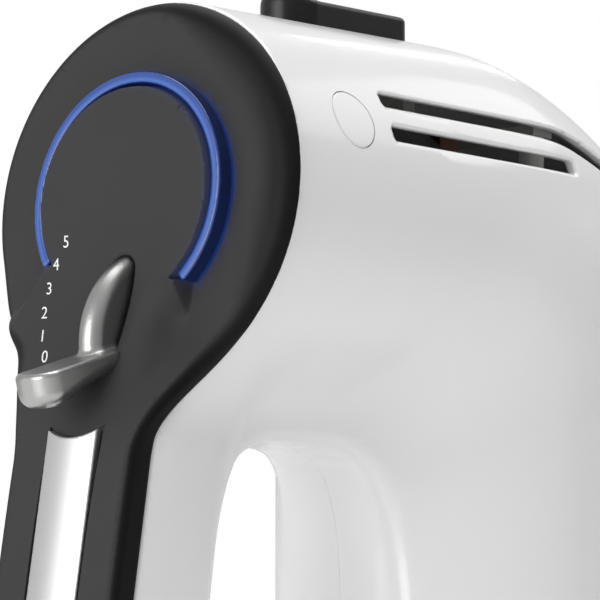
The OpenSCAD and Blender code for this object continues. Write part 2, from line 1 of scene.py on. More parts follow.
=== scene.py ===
import math
import bpy
import bmesh
import numpy as np
import openvdb as vdb
from mathutils import Matrix, Vector
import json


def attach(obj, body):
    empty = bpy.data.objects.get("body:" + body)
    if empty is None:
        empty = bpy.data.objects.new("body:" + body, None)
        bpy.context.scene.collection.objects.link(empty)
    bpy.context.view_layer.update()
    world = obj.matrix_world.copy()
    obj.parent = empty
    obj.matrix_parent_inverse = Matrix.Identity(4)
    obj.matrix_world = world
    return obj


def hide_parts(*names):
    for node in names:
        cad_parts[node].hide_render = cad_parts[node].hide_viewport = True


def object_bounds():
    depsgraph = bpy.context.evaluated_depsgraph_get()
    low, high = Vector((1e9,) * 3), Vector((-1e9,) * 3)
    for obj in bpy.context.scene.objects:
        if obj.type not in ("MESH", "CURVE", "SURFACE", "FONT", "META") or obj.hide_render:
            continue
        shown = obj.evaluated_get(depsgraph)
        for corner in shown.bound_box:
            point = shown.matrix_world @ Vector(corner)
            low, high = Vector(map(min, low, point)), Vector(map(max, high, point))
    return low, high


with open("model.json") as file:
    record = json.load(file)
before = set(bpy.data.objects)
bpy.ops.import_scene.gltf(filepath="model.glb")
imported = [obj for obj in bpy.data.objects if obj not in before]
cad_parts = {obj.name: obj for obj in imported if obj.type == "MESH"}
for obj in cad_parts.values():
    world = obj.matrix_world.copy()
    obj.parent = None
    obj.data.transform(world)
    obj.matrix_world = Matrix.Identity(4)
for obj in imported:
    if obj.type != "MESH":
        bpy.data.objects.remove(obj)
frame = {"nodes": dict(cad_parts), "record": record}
cad_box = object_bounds()
MM = 0.001

# ---------------------------------------------------------------- dimensions, in mm, in the CAD frame
HEAD_Z = 156.0
DISC_R = 36.95
HEAD_R = 35.7
RIM_Y = 10.2
DISC_LEAN = math.radians(4.4)
DISC_TILT = math.tan(DISC_LEAN)
GRIP_Y100 = -10.7
GRIP_SLOPE = math.tan(math.radians(9.6))
STRIP_HW = 14.9
NECK_FILLET = 30.0
RING_R = 20.9
RING_Z = 155.5
RING_ENDS = (-48.0, 212.0)
PLATEAU = 7.0
STRAIGHT_END = 84.9
NOSE_LEN = 89.6
WIDEST = 36.85
# finger gap: y and z of its centre, then its half sizes
GAP = (41.7, 66.0, 26.6, 45.5)
COLUMN_Y, COLUMN_HX, COLUMN_HY = 101.0, 34.2, 36.6
WALL = 2.4
GEAR_X = 17.5
GEAR_Y = 112.0
SCOOP = 2.3
# eject button's well: y of its centre, then its half sizes along x and y
WELL = (65.0, 7.1, 19.7)
BUTTON_Y = 67.0
KNOB_Y = 51.4
SPRING_Y = 68.0
PIVOT_Y = 13.0
PIVOT_Z = 129.2
LEVER_REST = math.radians(-16.5)
FIN_R = 17.5
GLAND_Z = 12.0
# the polished strip: its lower end, and the circle that hollows its top
INLAY_LOW = 34.0
NOTCH_Z = 124.2
NOTCH_R = 13.1
# the digits stand on a circle, from 0 upwards
SCALE_X = 2.28
SCALE_Z = 137.7
SCALE_R = 19.3
SCALE_FROM = 215.7
SCALE_STEP = -13.76
DIGIT_SIZE = 3.3


# ---------------------------------------------------------------- distance-field helpers
def smooth(a, b, t):
    u = np.clip((t - a) / (b - a), 0.0, 1.0)
    return u * u * (3.0 - 2.0 * u)


def smin(a, b, k):
    h = np.clip(0.5 + 0.5 * (b - a) / k, 0.0, 1.0)
    return b * (1.0 - h) + a * h - k * h * (1.0 - h)


def smax(a, b, k):
    return -smin(-a, -b, k)


def rmax(a, b, r):
    """Intersection with a true fillet of radius r."""
    return np.minimum(np.maximum(a, b), -r) + np.hypot(np.maximum(a + r, 0.0), np.maximum(b + r, 0.0))


def box2(u, v, hu, hv, r):
    qu, qv = np.abs(u) - hu + r, np.abs(v) - hv + r
    return np.minimum(np.maximum(qu, qv), 0.0) + np.hypot(np.maximum(qu, 0.0), np.maximum(qv, 0.0)) - r


def super2(u, v, hu, hv, p):
    """A superellipse outline, as a first-order distance."""
    a, b = np.abs(u) / hu, np.abs(v) / hv
    s = np.maximum(a ** p + b ** p, 1e-9) ** (1.0 / p)
    slope = np.hypot((a / s) ** (p - 1) / hu, (b / s) ** (p - 1) / hv)
    return (s - 1.0) / slope


def grip_y(z):
    return GRIP_Y100 + GRIP_SLOPE * (z - 100.0)


def rim_y(z):
    return RIM_Y + DISC_TILT * (z - HEAD_Z)


def face_y(z):
    s = smooth(112.0, 145.0, z)
    return grip_y(z) * (1.0 - s) + (rim_y(z) - PLATEAU) * s


def back_y(z):
    s = smooth(110.0, 128.0, z)
    return (grip_y(z) + 5.6) * (1.0 - s) + (rim_y(z) + 0.5) * s


# ---------------------------------------------------------------- mesh making
def mesh_from(name, pts, tris, quads):
    me = bpy.data.meshes.new(name)
    me.vertices.add(len(pts))
    me.vertices.foreach_set("co", (np.asarray(pts, np.float32) * MM).ravel())
    nt, nq = len(tris), len(quads)
    me.loops.add(3 * nt + 4 * nq)
    me.loops.foreach_set("vertex_index", np.concatenate([tris.ravel(), quads.ravel()]).astype(np.int32))
    me.polygons.add(nt + nq)
    start = np.concatenate([3 * np.arange(nt), 3 * nt + 4 * np.arange(nq)]).astype(np.int32)
    me.polygons.foreach_set("loop_start", start)
    me.polygons.foreach_set("loop_total", np.repeat(np.array([3, 4], np.int32), [nt, nq]))
    me.update(calc_edges=True)
    me.validate()
    ob = bpy.data.objects.new(name, me)
    bpy.context.collection.objects.link(ob)
    return ob


def gradient(f, p, eps=0.04):
    g = np.empty_like(p)
    for i in range(3):
        a, b = p.copy(), p.copy()
        a[:, i] += eps
        b[:, i] -= eps
        g[:, i] = (f(a[:, 0], a[:, 1], a[:, 2]) - f(b[:, 0], b[:, 1], b[:, 2])) / (2 * eps)
    return g


def field_normals(f, p):
    g = gradient(f, p)
    return g / np.maximum(np.linalg.norm(g, axis=1, keepdims=True), 1e-6)


def settle(p, f, h):
    """Move points onto the zero surface of f, by at most half a grid cell a step."""
    for _ in range(4):
        v = f(p[:, 0], p[:, 1], p[:, 2])
        g = gradient(f, p)
        g2 = np.maximum((g * g).sum(1), 0.05)
        step = (v / g2)[:, None] * g
        size = np.linalg.norm(step, axis=1, keepdims=True)
        p = p - step * np.minimum(1.0, 0.5 * h / np.maximum(size, 1e-9))
    return p


def trim(ob, planes):
    """Cut a mesh by each (point, normal), keep the normal's side and close the cut."""
    bm = bmesh.new()
    bm.from_mesh(ob.data)
    for co, no in planes:
        geom = bm.verts[:] + bm.edges[:] + bm.faces[:]
        r = bmesh.ops.bisect_plane(bm, geom=geom, plane_co=Vector(co) * MM, plane_no=Vector(no),
                                   clear_inner=True, dist=1e-7)
        edges = [e for e in r["geom_cut"] if isinstance(e, bmesh.types.BMEdge)]
        bmesh.ops.triangle_fill(bm, use_beauty=True, use_dissolve=False, edges=edges, normal=-Vector(no))
    bmesh.ops.recalc_face_normals(bm, faces=bm.faces[:])
    bm.to_mesh(ob.data)
    bm.free()


def surface(name, f, lo, hi, h, cut=None, adapt=0.0):
    """The zero surface of f inside the box lo..hi, as a smooth mesh.

    cut is a list of (point, normal): each plane keeps its normal's side."""
    lo, hi = np.asarray(lo, float), np.asarray(hi, float)
    n = np.ceil((hi - lo) / h).astype(int) + 1
    ax = [(lo[i] + h * np.arange(n[i])).astype(np.float32) for i in range(3)]
    d = f(ax[0][:, None, None], ax[1][None, :, None], ax[2][None, None, :])
    d = np.ascontiguousarray(np.clip(np.broadcast_to(d, tuple(n)), -3 * h, 3 * h).astype(np.float32))
    grid = vdb.FloatGrid(float(3 * h))
    grid.copyFromArray(d)
    pts, tris, quads = grid.convertToPolygons(isovalue=0.0, adaptivity=adapt)
    p = pts.astype(np.float64) * h + lo
    p = settle(p, f, h)
    t, q = tris.astype(np.int64).reshape(-1, 3), quads.astype(np.int64).reshape(-1, 4)
    fn = np.cross(p[q[:, 1]] - p[q[:, 0]], p[q[:, 2]] - p[q[:, 0]])
    if (fn * field_normals(f, p[q[:, 0]])).sum() < 0:
        t, q = t[:, ::-1], q[:, ::-1]
    ob = mesh_from(name, p, t, q)
    print("piece", name, len(p), "points", len(t) + len(q), "faces")
    if cut is not None:
        trim(ob, cut)
    shade(ob, f)
    return ob


def shade(ob, f):
    """Smooth shading from the field itself, and flat shading where a face doesn't follow it."""
    me = ob.data
    nv, nl, nf = len(me.vertices), len(me.loops), len(me.polygons)
    co = np.empty(nv * 3, np.float32)
    me.vertices.foreach_get("co", co)
    vn = field_normals(f, co.reshape(-1, 3).astype(np.float64) / MM)
    idx = np.empty(nl, np.int32)
    me.loops.foreach_get("vertex_index", idx)
    start, total = np.empty(nf, np.int32), np.empty(nf, np.int32)
    me.polygons.foreach_get("loop_start", start)
    me.polygons.foreach_get("loop_total", total)
    fn = np.empty(nf * 3, np.float32)
    me.polygons.foreach_get("normal", fn)
    fn = np.repeat(fn.reshape(-1, 3), total, axis=0)
    ln = vn[idx]
    bad = (ln * fn).sum(1) < 0.55
    ln[bad] = fn[bad]
    me.polygons.foreach_set("use_smooth", np.ones(nf, bool))
    me.normals_split_custom_set(ln.astype(float).tolist())


replaced = set()


def place(ob, body, slot, *nodes):
    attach(ob, body)
    if nodes:
        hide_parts(*nodes)
        replaced.update(nodes)


# ---------------------------------------------------------------- materials
def material(name, color, rough=0.4, metal=0.0, coat=0.0, coat_rough=0.1, vary=0.04, scale=40.0,
             bump=0.0, bump_scale=900.0, rough_vary=0.08, spec=0.5, stretch=(1, 1, 1), emit=None,
             emit_strength=0.0):
    m = bpy.data.materials.new(name)
    m.use_nodes = True
    nt = m.node_tree
    bsdf = nt.nodes["Principled BSDF"]
    co = nt.nodes.new("ShaderNodeTexCoord")
    mp = nt.nodes.new("ShaderNodeMapping")
    mp.inputs["Scale"].default_value = stretch
    nt.links.new(co.outputs["Object"], mp.inputs["Vector"])
    noise = nt.nodes.new("ShaderNodeTexNoise")
    noise.inputs["Scale"].default_value = scale
    noise.inputs["Detail"].default_value = 4.0
    nt.links.new(mp.outputs["Vector"], noise.inputs["Vector"])
    ramp = nt.nodes.new("ShaderNodeValToRGB")
    lo = [max(0.0, c * (1 - vary)) for c in color]
    hi = [min(1.0, c * (1 + vary)) for c in color]
    ramp.color_ramp.elements[0].position, ramp.color_ramp.elements[1].position = 0.3, 0.7
    ramp.color_ramp.elements[0].color = (*lo, 1)
    ramp.color_ramp.elements[1].color = (*hi, 1)
    nt.links.new(noise.outputs["Fac"], ramp.inputs["Fac"])
    nt.links.new(ramp.outputs["Color"], bsdf.inputs["Base Color"])
    rr = nt.nodes.new("ShaderNodeMapRange")
    rr.inputs["To Min"].default_value = max(0.02, rough - rough_vary)
    rr.inputs["To Max"].default_value = min(1.0, rough + rough_vary)
    nt.links.new(noise.outputs["Fac"], rr.inputs["Value"])
    nt.links.new(rr.outputs["Result"], bsdf.inputs["Roughness"])
    bsdf.inputs["Metallic"].default_value = metal
    bsdf.inputs["Specular IOR Level"].default_value = spec
    bsdf.inputs["Coat Weight"].default_value = coat
    bsdf.inputs["Coat Roughness"].default_value = coat_rough
    if bump:
        fine = nt.nodes.new("ShaderNodeTexNoise")
        fine.inputs["Scale"].default_value = bump_scale
        fine.inputs["Detail"].default_value = 3.0
        nt.links.new(mp.outputs["Vector"], fine.inputs["Vector"])
        bp = nt.nodes.new("ShaderNodeBump")
        bp.inputs["Strength"].default_value = bump
        bp.inputs["Distance"].default_value = 0.0002
        nt.links.new(fine.outputs["Fac"], bp.inputs["Height"])
        nt.links.new(bp.outputs["Normal"], bsdf.inputs["Normal"])
    if emit:
        bsdf.inputs["Emission Color"].default_value = (*emit, 1)
        bsdf.inputs["Emission Strength"].default_value = emit_strength
    return m


MAT = {
    "white_shell": material("white_gloss", (0.79, 0.785, 0.785), 0.24, coat=0.45, coat_rough=0.085,
                            vary=0.006, scale=18, bump=0.02, bump_scale=260, rough_vary=0.03),
    "polished_inlay": material("polished_steel", (0.72, 0.72, 0.73), 0.36, 1.0, vary=0.03, scale=30,
                               bump=0.03, bump_scale=1400, rough_vary=0.05, stretch=(1, 1, 0.05)),
    "satin_lever": material("satin_silver", (0.45, 0.45, 0.44), 0.34, 1.0, vary=0.06, scale=70, bump=0.14,
                            bump_scale=2600, rough_vary=0.05),
    "black_button": material("black_satin", (0.006, 0.006, 0.0065), 0.3, vary=0.2, scale=50, bump=0.05,
                             bump_scale=1800, spec=0.35),
    "natural_nylon": material("nylon", (0.72, 0.71, 0.66), 0.45, vary=0.05, scale=60, bump=0.1),
    "gray_nylon": material("filled_nylon", (0.2, 0.2, 0.21), 0.5, vary=0.1, scale=80, bump=0.2),
    "switch_housing": material("switch_black", (0.03, 0.032, 0.035), 0.45, vary=0.1, scale=80, bump=0.15),
    "board_green": material("board", (0.02, 0.12, 0.04), 0.35, vary=0.15, scale=120, coat=0.3, bump=0.1),
    "lamination_steel": material("laminations", (0.3, 0.3, 0.32), 0.4, 0.9, vary=0.2, scale=900,
                                 stretch=(0.02, 1, 0.02), bump=0.4, bump_scale=1500),
    "copper_wire": material("enamelled_copper", (0.09, 0.03, 0.012), 0.35, 0.6, vary=0.25, scale=700,
                            stretch=(1, 0.1, 1), bump=0.5, bump_scale=900),
    "copper_bars": material("copper", (0.7, 0.35, 0.18), 0.25, 1.0, vary=0.1, scale=200, bump=0.1),
    "pin_steel": material("ground_steel", (0.55, 0.55, 0.56), 0.22, 1.0, vary=0.05, scale=200, bump=0.1),
    "worm_steel": material("worm_steel", (0.5, 0.5, 0.51), 0.25, 1.0, vary=0.05, scale=200, bump=0.1),
    "screw_steel": material("screw_steel", (0.42, 0.42, 0.43), 0.3, 1.0, vary=0.08, scale=200, bump=0.15),
    "spring_steel": material("spring_steel", (0.5, 0.5, 0.52), 0.28, 1.0, vary=0.06, scale=200, bump=0.1),
    "bronze": material("sintered_bronze", (0.48, 0.32, 0.13), 0.45, 0.9, vary=0.12, scale=500, bump=0.4),
    "brass_tube": material("brass", (0.7, 0.5, 0.17), 0.25, 1.0, vary=0.06, scale=200, bump=0.1),
    "carbon": material("carbon", (0.02, 0.02, 0.02), 0.7, vary=0.2, scale=300, bump=0.3),
    "white_acetal": material("acetal", (0.82, 0.82, 0.79), 0.35, vary=0.03, scale=80, bump=0.08),
    "spindle_steel": material("spindle_steel", (0.55, 0.55, 0.56), 0.2, 1.0, vary=0.05, scale=300,
                              stretch=(1, 1, 0.2), bump=0.1),
    "beater_chrome": material("beater_steel", (0.72, 0.72, 0.73), 0.12, 1.0, vary=0.03, scale=60, bump=0.03,
                              bump_scale=900, rough_vary=0.05),
    "socket_dark": material("socket_plastic", (0.03, 0.03, 0.032), 0.4, vary=0.1, scale=80, bump=0.15),
    "black_rubber": material("rubber", (0.016, 0.016, 0.017), 0.65, vary=0.2, scale=90, bump=0.3,
                             bump_scale=1200),
    "lead_sleeve": material("lead_sleeve", (0.05, 0.03, 0.12), 0.45, vary=0.1, scale=90, bump=0.1),
}
MAT["white_cap"] = MAT["white_shell"]


def edge_material(name, flat, edge, rough_flat, rough_edge, grain):
    """A soft-touch face with a darker rim, where the attribute "rim" runs from 0 to 1: partly the moulded
    rim's own black, partly painted shade and a painted reflection.
    """
    m = material(name, flat, rough_flat, vary=0.05, scale=35, bump=grain, bump_scale=2400, rough_vary=0.04,
                 spec=0.16)
    nt = m.node_tree
    bsdf = nt.nodes["Principled BSDF"]
    ramp = next(n for n in nt.nodes if n.type == "VALTORGB")
    rr = next(n for n in nt.nodes if n.type == "MAP_RANGE")
    at = nt.nodes.new("ShaderNodeAttribute")
    at.attribute_name = "rim"
    mix = nt.nodes.new("ShaderNodeMix")
    mix.data_type = "RGBA"
    mix.inputs["B"].default_value = (*edge, 1)
    nt.links.new(at.outputs["Fac"], mix.inputs["Factor"])
    nt.links.new(ramp.outputs["Color"], mix.inputs["A"])
    nt.links.new(mix.outputs["Result"], bsdf.inputs["Base Color"])
    mr = nt.nodes.new("ShaderNodeMix")
    mr.inputs["B"].default_value = rough_edge
    nt.links.new(at.outputs["Fac"], mr.inputs["Factor"])
    nt.links.new(rr.outputs["Result"], mr.inputs["A"])
    nt.links.new(mr.outputs["Result"], bsdf.inputs["Roughness"])
    # lamp light spilling onto the cover beside the ring
    spill = nt.nodes.new("ShaderNodeAttribute")
    spill.attribute_name = "halo"
    tint = nt.nodes.new("ShaderNodeMix")
    tint.data_type = "RGBA"
    tint.inputs["A"].default_value = (0, 0, 0, 1)
    tint.inputs["B"].default_value = (0.02, 0.05, 0.32, 1)
    nt.links.new(spill.outputs["Fac"], tint.inputs["Factor"])
    nt.links.new(tint.outputs["Result"], bsdf.inputs["Emission Color"])
    bsdf.inputs["Emission Strength"].default_value = 0.22
    return m


# the near-black edge colour is the moulded rim's own black and also painted shade
MAT["soft_touch_dark"] = edge_material("soft_touch", (0.038, 0.038, 0.0385), (0.002, 0.002, 0.0022),
                                       0.66, 0.55, 0.06)


def points(ob):
    """The mesh points of a piece, in mm."""
    co = np.empty(len(ob.data.vertices) * 3, np.float32)
    ob.data.vertices.foreach_get("co", co)
    return co.reshape(-1, 3).astype(float) / MM


def set_attribute(ob, name, values):
    at = ob.data.attributes.new(name, "FLOAT", "POINT")
    at.data.foreach_set("value", np.asarray(values, np.float32))


# ---------------------------------------------------------------- white case
def outline(x, z, hw, r, fillet):
    """Outline of head and grip seen from the user: a disc and a strip, joined by arcs tangent to both."""
    ax, dz = np.abs(x), z - HEAD_Z
    cx = hw + fillet
    cz = -math.sqrt((r + fillet) ** 2 - cx ** 2)
    f = np.where(dz < cz, ax - hw, np.hypot(ax, dz) - r)
    arc = (cx * dz - cz * ax < 0) & (dz >= cz)
    return np.where(arc, fillet - np.hypot(ax - cx, dz - cz), f)


def body_field(x, y, z):
    ax = np.abs(x)
    # head and nose; the top line climbs towards the nose
    rise = (1.5 + 0.054 * (np.clip(y, 0.0, 99.0) - 12.0)) * (1.0 - smooth(99.0, 174.0, y))
    v = z - HEAD_Z
    v = np.where(v > 0, v * HEAD_R / (HEAD_R + rise), v)
    r = np.hypot(x, v)
    t = np.maximum(y - STRAIGHT_END, 0.0)
    head = super2(r, t, HEAD_R, NOSE_LEN, 2.0)
    head = rmax(head, 5.0 - y, 1.0)
    # column, narrower towards the finger gap
    wide = ax * (1.0 + 0.2 * (1.0 - smooth(62.0, 104.0, y)))
    column = super2(wide, y - COLUMN_Y, COLUMN_HX, COLUMN_HY, 2.25)
    column = rmax(column, z - 150.0, 4.0)
    # grip
    gy = y - grip_y(z)
    grip = super2(x, gy - 15.0, 15.1, 17.0, 3.3)
    grip = rmax(grip, z - 140.0, 4.0)
    web_hw = 11.0 - 5.0 * (1.0 - smooth(84.0, 110.0, z))
    web = rmax(ax - web_hw, np.maximum(np.maximum(z - 150.0, 80.0 - z), np.maximum(-2.0 - y, y - 90.0)), 5.0)
    f = smin(head, column, 16.0)
    f = smin(f, smin(grip, web, 6.0), 12.0)
    # heel
    hw = 15.1 + 11.0 * smooth(22.0, 82.0, y) * (1.0 - smooth(26.0, 50.0, z))
    heel = rmax(ax - hw, np.maximum(z - 52.0, np.maximum(-14.0 - y, y - COLUMN_Y)), 3.0)
    f = smin(f, heel, 8.0)
    # finger gap with soft edges
    power = 3.2 + 0.6 * smooth(-4.0, 12.0, y - GAP[0])
    gap = super2(y - GAP[0], z - GAP[1], GAP[2], GAP[3], power)
    f = smax(f, -gap, 3.0)
    f = rmax(f, 1.8 - z, 2.5)
    return smax(f, ax - WIDEST, 2.0)


def slots(x, y, z):
    """Air slots of the head, cut straight along x: one field that is negative inside a slot."""
    past = y - 106.0
    fall = 0.125 * (np.sqrt(past * past + 36.0) + past)
    height = 1.35 + 0.6 * smooth(94.0, 114.0, y)
    upper = box2(y - 86.5, z - (175.5 + 0.026 * (y - 42.0) - fall), 45.0, height, 1.0)
    lower = box2(y - 74.0, z - (168.8 + 0.021 * (y - 42.0)), 32.2, 1.45, 0.95)
    return np.maximum(np.minimum(upper, lower), 20.0 - np.abs(x))


def stadium(x, y, grow):
    return np.hypot(np.maximum(np.abs(x) - GEAR_X, 0.0), y - GEAR_Y) - 11.0 - grow


CAP_A = math.radians(22.8)
CAP_Y, CAP_R = 30.2, 5.7


def cap_frame(x, y, z):
    u = x * math.cos(CAP_A) + (z - HEAD_Z) * math.sin(CAP_A)
    v = -x * math.sin(CAP_A) + (z - HEAD_Z) * math.cos(CAP_A)
    return u, np.hypot(y - CAP_Y, v)


def shell_field(x, y, z):
    f = body_field(x, y, z)
    inner = f + WALL
    f = np.maximum(f, -inner)
    ax = np.abs(x)
    # front edge against the dark cover
    f = rmax(f, back_y(z) + 0.15 - y, 0.7)
    f = rmax(f, -slots(x, y, z), 0.75)
    # eject button well
    well = box2(ax, y - WELL[0], WELL[1], WELL[2], 3.6)
    f = rmax(f, -np.maximum(well, 176.0 - z), 0.5)
    # recesses underneath and the cord gland
    f = np.maximum(f, -np.maximum(stadium(x, y, 0.1), z - 7.0))
    f = np.maximum(f, -np.maximum(box2(ax, y, 11.2, 19.2, 5.2), z - 3.3))
    f = np.maximum(f, -np.maximum(np.hypot(x, z - GLAND_Z) - 5.3, y - 6.0))
    for i in (-2, -1, 0, 1, 2):
        f = np.maximum(f, -np.maximum(box2(x - 7.0 * i, y - 85.0, 1.5, 9.0, 1.2), z - 7.0))
    return f


SCREWS = ((148.0, 150.0), (88.0, 16.0), (-4.0, 22.0))


def right_field(x, y, z):
    f = shell_field(x, y, z)
    for sy, sz in SCREWS:
        f = rmax(f, -np.maximum(np.hypot(y - sy, z - sz) - 3.0, 8.0 - x), 0.4)
    return f


STEP, ADAPT = 0.55, 0.04
case_lo, case_hi = (-1.6, -26.0, 0.0), (38.0, 177.0, 199.0)
case_right = surface("shell_right", right_field, case_lo, case_hi, STEP, [((0.02, 0, 0), (1, 0, 0))], ADAPT)
# the left half starts off a grid plane, or its wall would lie on one and leave stray faces
case_left = surface("shell_left", shell_field, (-38.2, case_lo[1], 0.0), (1.6, case_hi[1], case_hi[2]), STEP,
                    [((-0.02, 0, 0), (-1, 0, 0))], ADAPT)


def carve(ob, bm):
    """Subtract a closed bmesh, given in metres, with crisp edges; the bmesh is used up."""
    me = bpy.data.meshes.new("cutter")
    bmesh.ops.recalc_face_normals(bm, faces=bm.faces[:])
    bm.to_mesh(me)
    bm.free()
    tool = bpy.data.objects.new("cutter", me)
    bpy.context.collection.objects.link(tool)
    mod = ob.modifiers.new("carve", "BOOLEAN")
    mod.object = tool
    mod.operation = "DIFFERENCE"
    mod.solver = "EXACT"
    deps = bpy.context.evaluated_depsgraph_get()
    cut = bpy.data.meshes.new_from_object(ob.evaluated_get(deps))
    ob.modifiers.clear()
    ob.data = cut
    bpy.data.objects.remove(tool)


def round_cutter(radius, centre, direction, depth):
    bm = bmesh.new()
    spin = Vector(direction).to_track_quat("Z", "Y").to_matrix().to_4x4()
    bmesh.ops.create_cone(bm, cap_ends=True, segments=96, radius1=radius * MM, radius2=radius * MM,
                          depth=depth * MM, matrix=Matrix.Translation(Vector(centre) * MM) @ spin)
    return bm


cap_dir = (math.cos(CAP_A), 0.0, math.sin(CAP_A))
cap_mid = (37.6 * cap_dir[0], CAP_Y, HEAD_Z + 37.6 * cap_dir[2])
carve(case_right, round_cutter(CAP_R + 0.16, cap_mid, cap_dir, 6.0))
shade(case_right, right_field)
for ob, node in ((case_right, "case_right"), (case_left, "case_left")):
    ob.data.materials.append(MAT["white_shell"])
    place(ob, "housing", "white_shell", node)


def cap_field(x, y, z):
    u, w = cap_frame(x, y, z)
    return rmax(w - CAP_R, np.maximum(body_field(x, y, z) - 0.02, 34.9 - u), 0.25)


cap = surface("screw_cap", cap_field, (26, 23, 160), (38, 38, 180), 0.3)
cap.data.materials.append(MAT["white_shell"])
place(cap, "housing", "white_cap", "screw_cap")


# ---------------------------------------------------------------- dark cover
def step_side(x, z):
    """How far a point is outside the raised plateau, in step widths: -1 is inside, 1 is outside."""
    r = np.hypot(x, z - RING_Z)
    # below the ring's ends the step leaves the circle and fades into the neck
    right_end = 139.6
    left_end = 144.2
    line_r = x - (14.4 - 0.06 * (right_end - z))
    line_l = -19.0 - 0.75 * (left_end - z) - x
    soft_r = 0.5 + 9.0 * smooth(131.0, 114.0, z)
    soft_l = 0.5 + 7.0 * smooth(left_end, 124.0, z)
    below = np.maximum(line_r / soft_r, line_l / soft_l)
    above = (r - RING_R) / 0.45
    left = x < 0
    use_line = np.where(left, z < left_end, z < right_end)
    return np.where(use_line, below, above)


def front_y(x, z):
    """The y of the cover's front surface."""
    p = face_y(z)
    r = np.hypot(x, z - HEAD_Z)
    low = rim_y(z) - 2.0 - 0.5 * smooth(24.0, 36.0, r)
    w = np.where(x < 0, smooth(123.0, 147.0, z), smooth(108.0, 134.0, z))
    outer = p + (low - p) * w
    # below the ring's right end the plateau sinks to meet the lower face
    q = smooth(4.0, 14.0, x) * (1.0 - smooth(131.7, 141.0, z))
    inner = p + (outer - p) * q
    return inner + (outer - inner) * smooth(-1.0, 1.0, step_side(x, z))


def front_slope(x, z, eps=0.05):
    """How steep the front surface is: it turns an offset along y into a distance."""
    across = (front_y(x + eps, z) - front_y(x - eps, z)) / (2 * eps)
    along = (front_y(x, z + eps) - front_y(x, z - eps)) / (2 * eps)
    return np.sqrt(1.0 + across ** 2 + along ** 2)


def edge_radius(x, z):
    shoulder = 2.9 * np.exp(-((z - 129.0) / 5.0) ** 2) * smooth(0.0, -18.0, x)
    return 1.7 + (1.3 + 1.2 * smooth(0.0, 20.0, x)) * smooth(108.0, 140.0, z) + shoulder


def cover_field(x, y, z):
    out = outline(x, z, STRIP_HW, DISC_R, NECK_FILLET)
    f = (front_y(x, z) - y) / front_slope(x, z)
    f = rmax(f, out, edge_radius(x, z))
    f = rmax(f, y - back_y(z), 0.6)
    f = rmax(f, 3.2 - z, 2.0)
    # scoop round the lever
    cz = (z - 133.2) / 21.5
    bow = 1.5 - 4.8 * smooth(113.0, 138.0, z)
    depth = y - face_y(z)
    lens = (np.sqrt(((x - bow) / 11.2) ** 2 + cz ** 2 + (depth / SCOOP) ** 2 + 1e-6) - 1.0) * SCOOP
    f = smax(f, -lens, 3.0)
    # slot of the lever
    slot = box2(x, z - (PIVOT_Z + 4.2), 3.1, 11.4, 2.9)
    f = rmax(f, -slot, 0.5)
    pocket = np.maximum(np.hypot(y - PIVOT_Y, z - PIVOT_Z) - FIN_R - 0.6, np.abs(x) - 4.4)
    f = np.maximum(f, -np.maximum(pocket, face_y(z) + 6.2 - y))
    # cord gland
    f = np.maximum(f, -(np.hypot(x, z - GLAND_Z) - 7.15))
    return f


cover = surface("rear_cover", cover_field, (-38.5, -29, 1.5), (38.5, 18, 195), 0.42, adapt=0.01)


def strip_outline(grow, low):
    """Outline (x, z) of the polished strip, hollow at the top under the lever."""
    hw = 6.15 + grow
    r = NOTCH_R - grow
    bend = math.asin(hw / r)
    pts = [(-hw, low), (hw, low)]
    for i in range(25):
        t = bend * (1.0 - i / 12.0)
        pts.append((r * math.sin(t), NOTCH_Z - r * math.cos(t)))
    return pts


def recess_cutter(depth):
    """The strip's recess: open at the front, its floor following the grip."""
    bm = bmesh.new()
    ring_pts = strip_outline(0.4, INLAY_LOW - 0.3)
    front = [bm.verts.new((x * MM, (face_y(z) - 4.0) * MM, z * MM)) for x, z in ring_pts]
    back = [bm.verts.new((x * MM, (face_y(z) + depth) * MM, z * MM)) for x, z in ring_pts]
    n = len(ring_pts)
    for i in range(n):
        bm.faces.new((front[i], front[(i + 1) % n], back[(i + 1) % n], back[i]))
    for ring_verts in (front, back):
        bmesh.ops.triangle_fill(bm, use_beauty=True, edges=[
            bm.edges.get((ring_verts[i], ring_verts[(i + 1) % n])) for i in range(n)])
    return bm


carve(cover, recess_cutter(1.6))
shade(cover, cover_field)


def rim_shade(x, z):
    """How dark the cover is at a point, from 0 to 1: a darker rim, partly the moulding's own black and partly
    painted shade.
    """
    inside = outline(x, z, STRIP_HW, DISC_R, NECK_FILLET)
    on_head = smooth(128.0, 152.0, z)
    # painted shade: on the right of the head the dark band reaches further in
    shade_from = -0.9 - 1.5 * smooth(0.0, 20.0, x) * on_head
    dark = smooth(shade_from, -0.42, inside / edge_radius(x, z))
    # painted reflection: the darkness eases off in a thin strip at the very edge of the head
    return dark * (1.0 - 0.3 * on_head * smooth(-0.4, -0.1, inside))


def lamp_halo(x, z):
    """How much lamp light falls on the cover at a point, from 0 to 1."""
    off_band = np.abs(np.hypot(x, z - RING_Z) - RING_R - 1.1) - 1.1
    mid_arc = 0.5 * (RING_ENDS[0] + RING_ENDS[1])
    half_arc = 0.5 * (RING_ENDS[1] - RING_ENDS[0])
    arc = np.degrees(np.arctan2(z - RING_Z, x))
    off_end = np.abs((arc - mid_arc + 180.0) % 360.0 - 180.0) - half_arc
    far = np.hypot(np.maximum(off_band, 0.0), np.maximum(off_end, 0.0) * 0.4)
    return np.exp(-far / 0.45)


cover_at = points(cover)
set_attribute(cover, "rim", rim_shade(cover_at[:, 0], cover_at[:, 2]))
set_attribute(cover, "halo", lamp_halo(cover_at[:, 0], cover_at[:, 2]))
cover.data.materials.append(MAT["soft_touch_dark"])
place(cover, "housing", "soft_touch_dark", "rear_cover")


